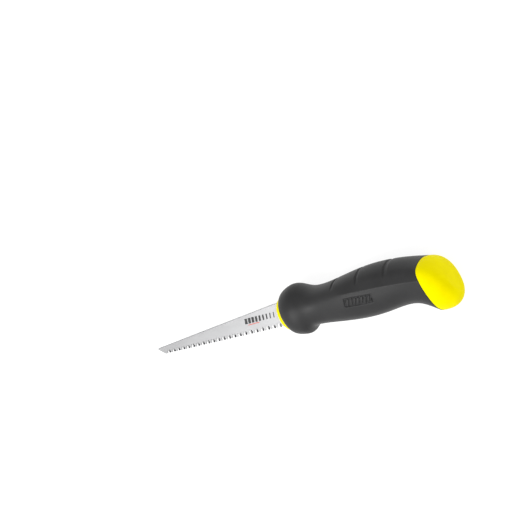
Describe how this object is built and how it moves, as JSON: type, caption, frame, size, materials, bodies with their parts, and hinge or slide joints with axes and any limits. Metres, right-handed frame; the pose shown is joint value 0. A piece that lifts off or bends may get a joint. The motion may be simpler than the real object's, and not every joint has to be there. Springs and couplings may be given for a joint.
{
  "type": "drywall saw",
  "caption": "Fixed-blade jab saw for plasterboard: pointed toothed blade, tang riveted in a split core, soft grip sleeve with a front guard, front collar and domed end cap.",
  "frame": {"origin": "middle of the bounding box, at the height of the floor that the saw lies on with its right side down", "axes": "+X runs along the blade from its tip to the end cap, +Y from the teeth to the blade's spine, +Z out of the saw's left side"},
  "size_m": [0.3074, 0.0464, 0.038],
  "materials": {
    "blade_steel": "finely ground bright steel",
    "core_plastic": "moulded hard plastic, hidden inside the grip",
    "rivet_steel": "plain steel, hidden inside the grip",
    "yellow_plastic": "satin moulded yellow plastic",
    "soft_grip": "matte dark grey soft moulded rubber"
  },
  "bodies": {
    "root": {"blade": "blade_steel", "core_left": "core_plastic", "core_right": "core_plastic", "tang_rivets": "rivet_steel", "front_collar": "yellow_plastic", "grip_sleeve": "soft_grip", "end_cap": "yellow_plastic"}
  },
  "joints": []
}
